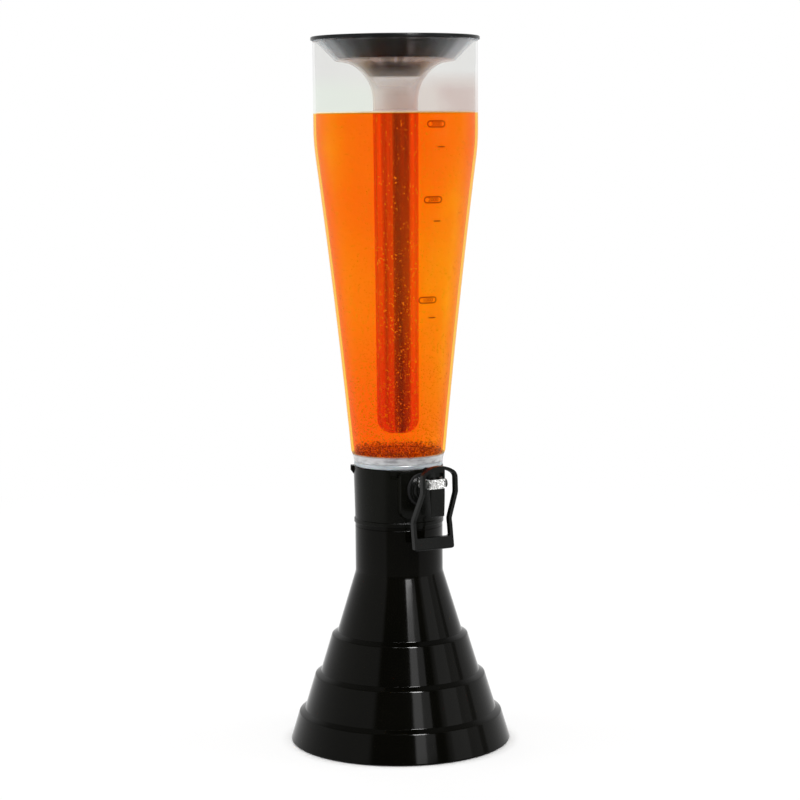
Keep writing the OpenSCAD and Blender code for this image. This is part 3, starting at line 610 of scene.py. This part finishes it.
def make_marks(tank):
    """The moulded scale: a numbered pill for each step, and below it a tick that ends level with it."""
    material = embossed()
    bm = bmesh.new()
    for z, drop in zip(MARK_HEIGHTS, TICK_DROPS):
        outline = [(MARK_SHIFT + u, v) for u, v in pill(z, MARK_W, MARK_H)]
        ribbon(bm, tank, outline, MARK_LINE, MARK_RISE)
        middle = MARK_SHIFT + (MARK_W - TICK_W) / 2
        tick = [(middle + u, v) for u, v in pill(z - drop, TICK_W, TICK_H, 2)]
        ribbon(bm, tank, tick, TICK_LINE, TICK_RISE)
    bmesh.ops.recalc_face_normals(bm, faces=bm.faces)
    mesh = bpy.data.meshes.new("scale_marks")
    bm.to_mesh(mesh)
    bm.free()
    smooth(mesh)
    add_object("scale_marks", mesh, material, "tank")
    for count, z in enumerate(MARK_HEIGHTS, 1):
        make_number(tank, f"{count}000", z, material)


def make_number(tank, text, z, material):
    """A scale number bent round the wall inside its pill."""
    letters = bpy.data.curves.new("number", "FONT")
    letters.body = text
    letters.size = NUMBER_SIZE
    letters.align_x = "CENTER"
    letters.align_y = "CENTER"
    letters.extrude = NUMBER_RISE
    flat = bpy.data.objects.new("number", letters)
    bpy.context.scene.collection.objects.link(flat)
    bpy.context.view_layer.update()
    graph = bpy.context.evaluated_depsgraph_get()
    mesh = bpy.data.meshes.new_from_object(flat.evaluated_get(graph))
    bpy.data.objects.remove(flat)
    for vertex in mesh.vertices:
        u, v, rise = vertex.co
        vertex.co = on_wall(tank, MARK_SHIFT + u, z + v, rise + NUMBER_RISE)
    mesh.materials.clear()
    add_object(f"scale_number_{text}", mesh, material, "tank")


# ---- Making the studio ------------------------------------------------------------------

def make_world():
    """White where it is seen. Gloss shows it with the room's dark side, a gap and a dim ceiling."""
    world = bpy.data.worlds.new("studio")
    bpy.context.scene.world = world
    s = Shader("studio", world)
    path = s.add("LightPath").outputs
    way = s.add("TexCoord").outputs["Generated"]
    up = s.add("SeparateXYZ", {"Vector": way}).outputs["Z"]
    dark = s.span(s.toward(way, DARK_SIDE), *DARK_EDGE, 1.0, DARK_ROOM)
    gap = s.span(s.toward(way, GAP_SIDE), *GAP_EDGE, 1.0, GAP_SHARE)
    walls = s.math("MULTIPLY", dark, gap)
    room = s.math("MULTIPLY", walls, s.span(up, *CEILING_FALL, 1.0, CEILING))
    seen = s.math("MAXIMUM", path["Is Camera Ray"], path["Is Transmission Ray"])
    shown = s.math("MAXIMUM", seen, s.math("MULTIPLY", path["Is Glossy Ray"], room))
    lights = s.math("SUBTRACT", 1.0, s.math("MAXIMUM", seen, path["Is Glossy Ray"]))
    strength = s.math("ADD", shown, s.math("MULTIPLY", lights, WORLD_LIGHT))
    s.finish(s.add("Background", {"Color": (1, 1, 1, 1), "Strength": strength}).outputs[0])


def make_floor():
    """A pale matt floor that is seen as white, but for the shade close to the tower."""
    s = Shader("floor")
    path = s.add("LightPath").outputs
    place = s.place()
    distance = s.length(place)
    white = s.math("MAXIMUM", path["Is Camera Ray"], path["Is Transmission Ray"])
    in_gloss = s.span(s.toward(place, DARK_SIDE), *DARK_EDGE, 1.0, DARK_FLOOR)
    shown = s.math("MAXIMUM", white, s.math("MULTIPLY", path["Is Glossy Ray"], in_gloss))
    seen = s.math("MAXIMUM", white, path["Is Glossy Ray"])
    share = s.ramp(s.span(distance, 0.0, 2.0), (0.050, grey(0)), (0.054, grey(0.80)), (0.12, grey(0.88)),
                   (0.75, grey(1)))
    tone = s.ramp(s.noise(3, 4), (0.3, (0.94, 0.94, 0.935)), (0.7, (0.96, 0.96, 0.955)))
    matt = s.add("BsdfDiffuse", {"Color": tone}).outputs[0]
    glow = s.add("Emission", {"Color": (1, 1, 1, 1), "Strength": shown}).outputs[0]
    material = s.finish(s.mix(s.math("MULTIPLY", seen, share), matt, glow))
    bm = bmesh.new()
    bmesh.ops.create_circle(bm, cap_ends=True, segments=FLOOR_SIDES, radius=FLOOR_RADIUS)
    mesh = bpy.data.meshes.new("floor")
    bm.to_mesh(mesh)
    bm.free()
    mesh.materials.append(material)
    floor = bpy.data.objects.new("floor", mesh)
    bpy.context.scene.collection.objects.link(floor)


def soft_box(name, azimuth, height, width, tall, power, aim):
    """An area lamp that faces the tower's axis and isn't seen itself."""
    data = bpy.data.lights.new(name, "AREA")
    data.shape = "RECTANGLE"
    data.size = width
    data.size_y = tall
    data.energy = power
    lamp = bpy.data.objects.new(name, data)
    bpy.context.scene.collection.objects.link(lamp)
    lamp.location = around_tower(math.radians(azimuth), LAMP_DISTANCE, height)
    lamp.rotation_mode = "QUATERNION"
    lamp.rotation_quaternion = (Vector((0, 0, aim)) - lamp.location).to_track_quat("-Z", "Y")
    lamp.visible_camera = False
    lamp.visible_transmission = False
    return lamp


def make_lights():
    """Wide boxes that light the tower, and others that only show as highlights on its gloss."""
    for name, azimuth, width, power in LAMPS:
        lamp = soft_box(name, azimuth, LAMP_HEIGHT, width, LAMP_TALL, power, LAMP_AIM)
        lamp.visible_glossy = False
    for name, azimuth, height, width, tall, radiance in SHEENS:
        power = radiance * math.pi * width * tall
        lamp = soft_box(name, azimuth, height, width, tall, power, SHEEN_AIM)
        lamp.visible_diffuse = False


make_camera()
make_world()
make_floor()
make_lights()
dress_solids()
tank_wall, tube_wall = Wall("tank"), Wall("ice_tube")
make_beer(tank_wall, tube_wall)
make_froth(tank_wall, tube_wall)
make_bubbles(tank_wall)
make_marks(tank_wall)

bpy.context.scene.view_settings.view_transform = "Standard"
